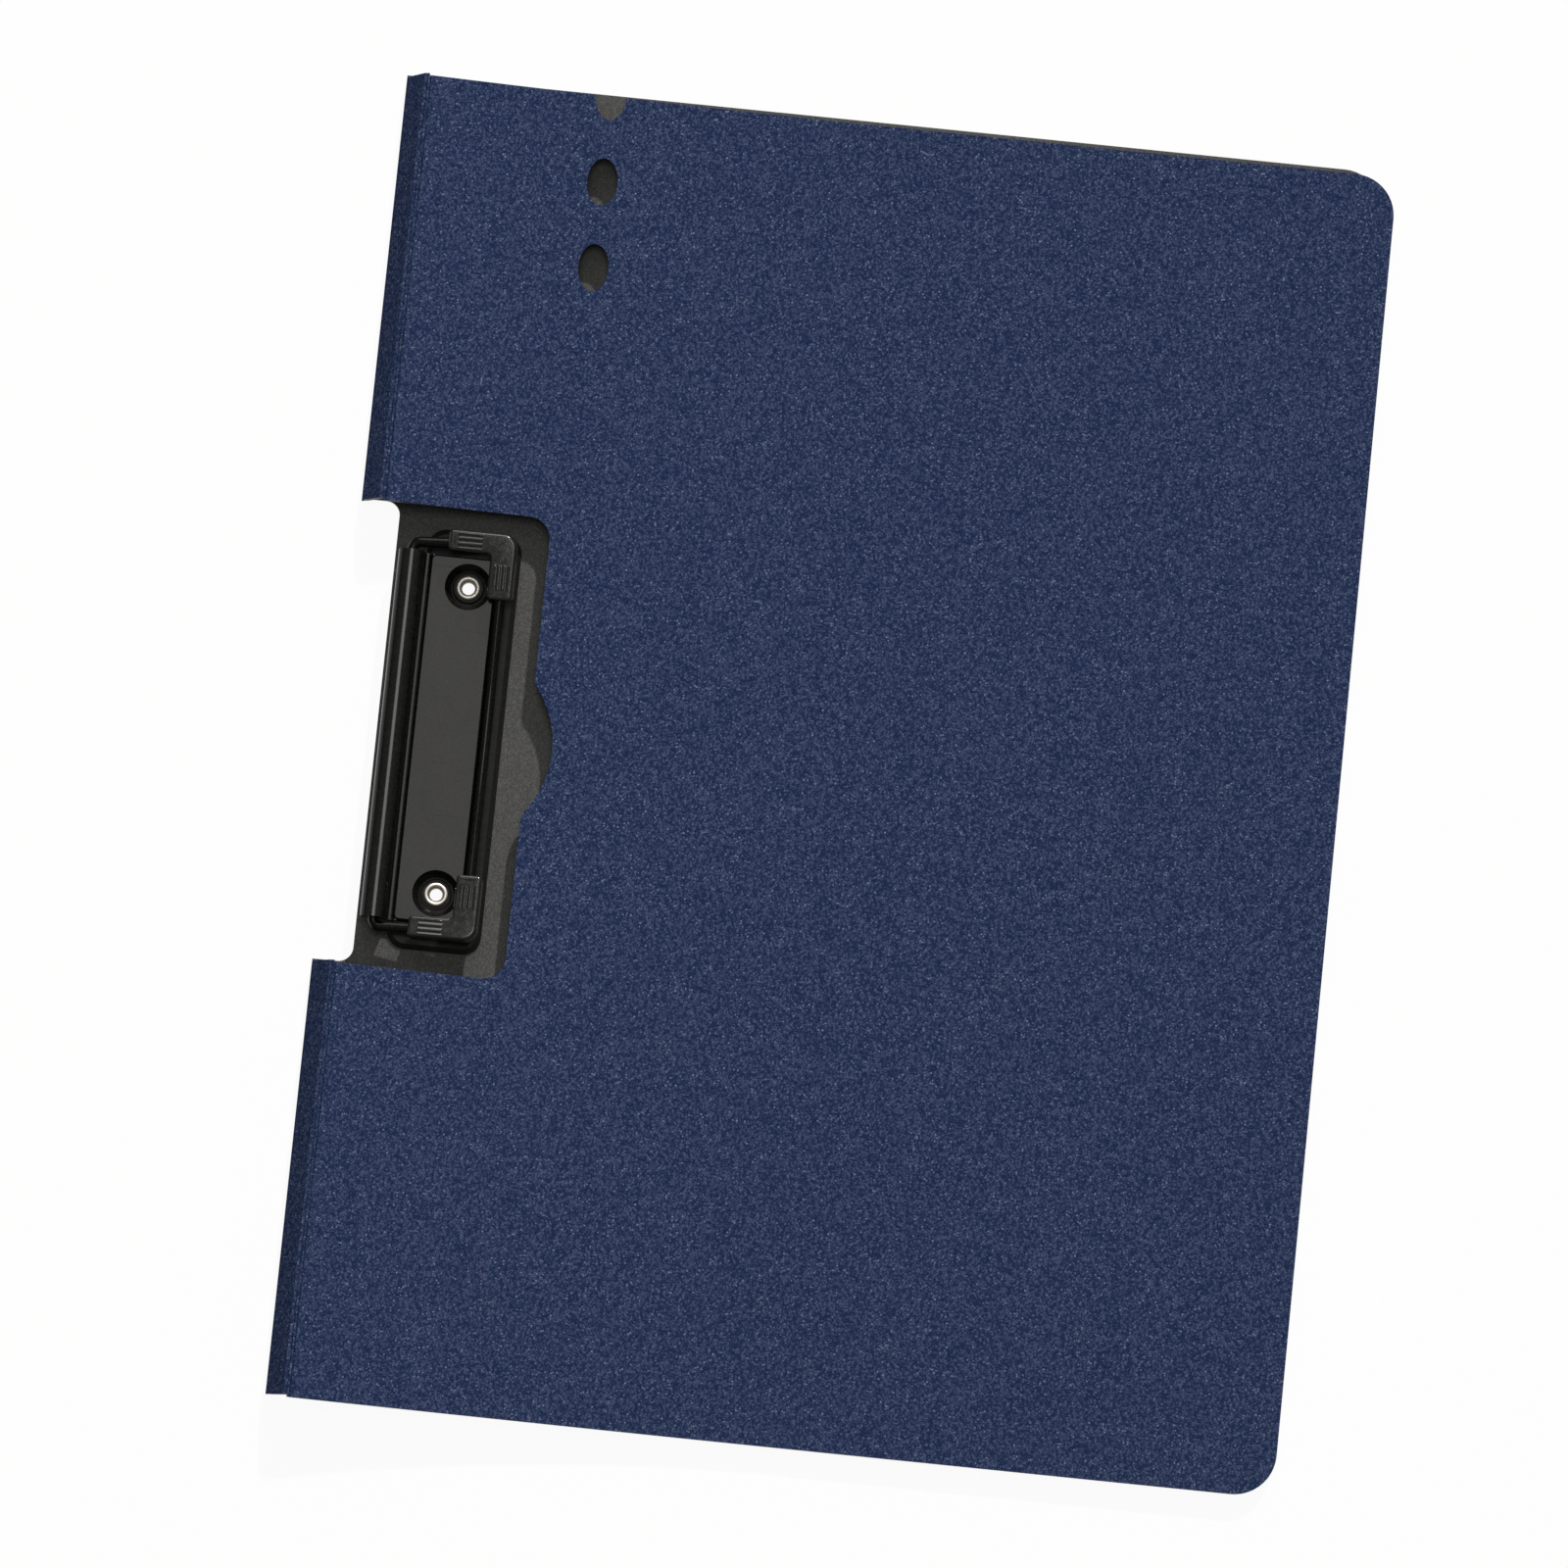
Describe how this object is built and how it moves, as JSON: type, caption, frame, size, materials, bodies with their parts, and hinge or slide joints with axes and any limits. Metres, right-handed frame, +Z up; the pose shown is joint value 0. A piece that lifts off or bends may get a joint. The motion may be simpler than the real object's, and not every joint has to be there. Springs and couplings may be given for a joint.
{
  "type": "clipboard folder",
  "caption": "Landscape clipboard folder for A4 sheets: a creased plastic cover that folds right round, and a sprung wire clip standing in a notch at the spine.",
  "frame": {"origin": "middle of the closed folder's underside, on the surface it rests on", "axes": "+Y along the spine towards the pen slots, +X from the spine to the free edge, +Z up through the cover"},
  "size_m": [0.2392, 0.3192, 0.011],
  "materials": {
    "sheet": "fine-grained navy face over a dark olive-grey inner face and core",
    "plate_paint": "gloss black",
    "wire_paint": "gloss black",
    "grip_plastic": "satin black",
    "eyelet_metal": "bright nickel"
  },
  "bodies": {
    "back": {"back_board": "sheet", "clip_base_plate": "plate_paint", "rivet_upper": "eyelet_metal", "rivet_lower": "eyelet_metal"},
    "spine": {"spine_strip_upper": "sheet", "spine_strip_lower": "sheet"},
    "cover": {"front_cover": "sheet"},
    "bail": {"wire_bail": "wire_paint", "corner_grip_upper": "grip_plastic", "corner_grip_lower": "grip_plastic"}
  },
  "joints": [
    {"name": "spine_fold", "type": "hinge", "parent": "back", "child": "spine", "pos_m": [-0.11945, 0, 0.00075], "axis": [0, -1, 0], "range_deg": [0, 243]},
    {"name": "cover_fold", "type": "hinge", "parent": "spine", "child": "cover", "pos_m": [-0.114, 0, 0.00961], "axis": [0, -1, 0], "range_deg": [0, 120]},
    {"name": "bail_lift", "type": "hinge", "parent": "back", "child": "bail", "pos_m": [-0.10605, 0, 0.00605], "axis": [0, -1, 0], "range_deg": [0, 95], "stiffness_Nm_per_rad": 0.3, "springref_deg": -34.38}
  ]
}
